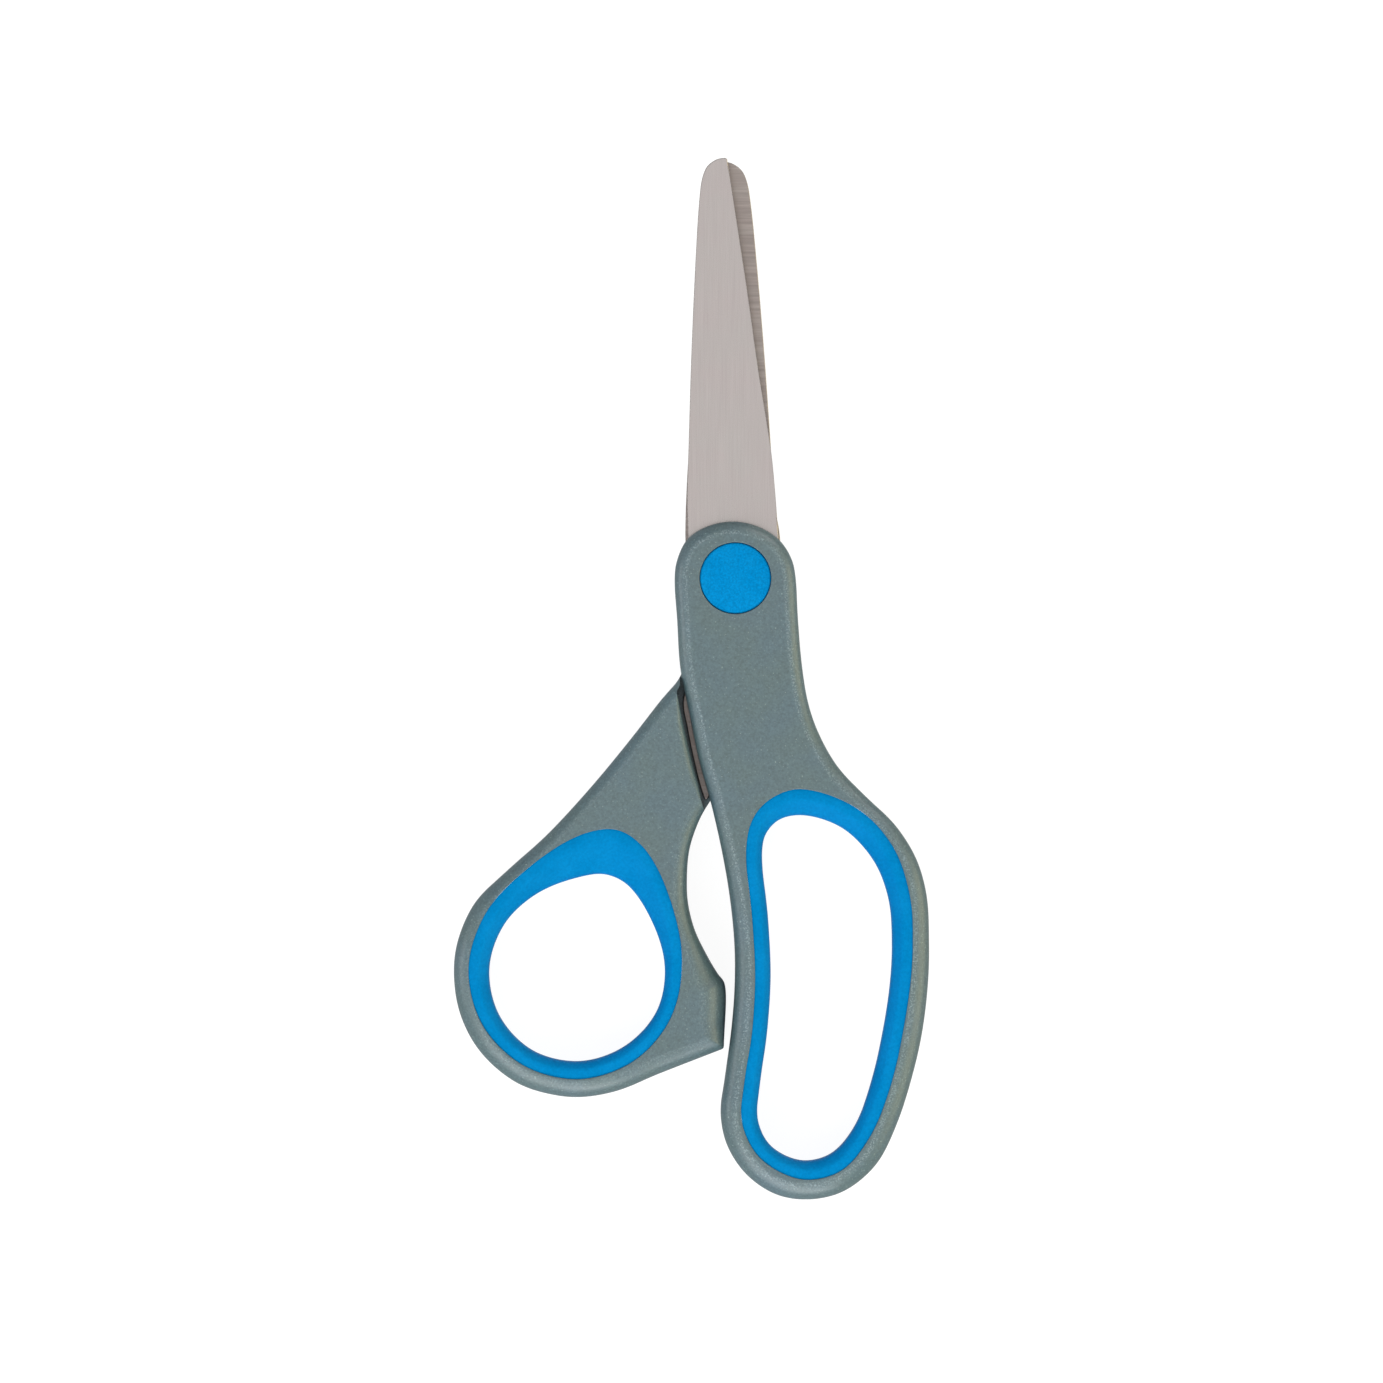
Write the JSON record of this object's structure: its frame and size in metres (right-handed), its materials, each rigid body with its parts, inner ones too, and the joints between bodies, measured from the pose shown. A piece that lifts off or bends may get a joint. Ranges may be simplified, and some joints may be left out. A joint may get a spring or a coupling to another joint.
{
  "type": "office scissors",
  "caption": "Small blunt-tipped office scissors with a round thumb loop and a long finger loop, both soft-lined, lying flat and almost closed.",
  "frame": {"origin": "on the pivot axis, in the flat underside that the scissors lie on", "axes": "+Y along the blades towards the tips, +X towards the finger loop, +Z along the pivot axis, up out of the flat"},
  "size_m": [0.0579, 0.1269, 0.009],
  "materials": {
    "blade_steel": "fine lengthwise brushed stainless steel",
    "grey_plastic": "fine spark-eroded texture",
    "blue_rubber": "smooth satin soft moulding",
    "blue_plastic": "satin",
    "pivot_steel": "plain turned and pressed steel"
  },
  "bodies": {
    "finger_half": {"front_blade": "blade_steel", "finger_handle": "grey_plastic", "finger_grip": "blue_rubber", "front_pivot_cap": "blue_plastic", "pivot_rivet": "pivot_steel", "wave_washer": "pivot_steel", "rivet_washer": "pivot_steel"},
    "thumb_half": {"rear_blade": "blade_steel", "thumb_handle": "grey_plastic", "thumb_grip": "blue_rubber", "rear_pivot_cap": "blue_plastic"}
  },
  "joints": [
    {"name": "blade_pivot", "type": "hinge", "parent": "finger_half", "child": "thumb_half", "pos_m": [0, 0, 0.0045], "axis": [0, 0, -1], "range_deg": [-0.6, 120]}
  ]
}
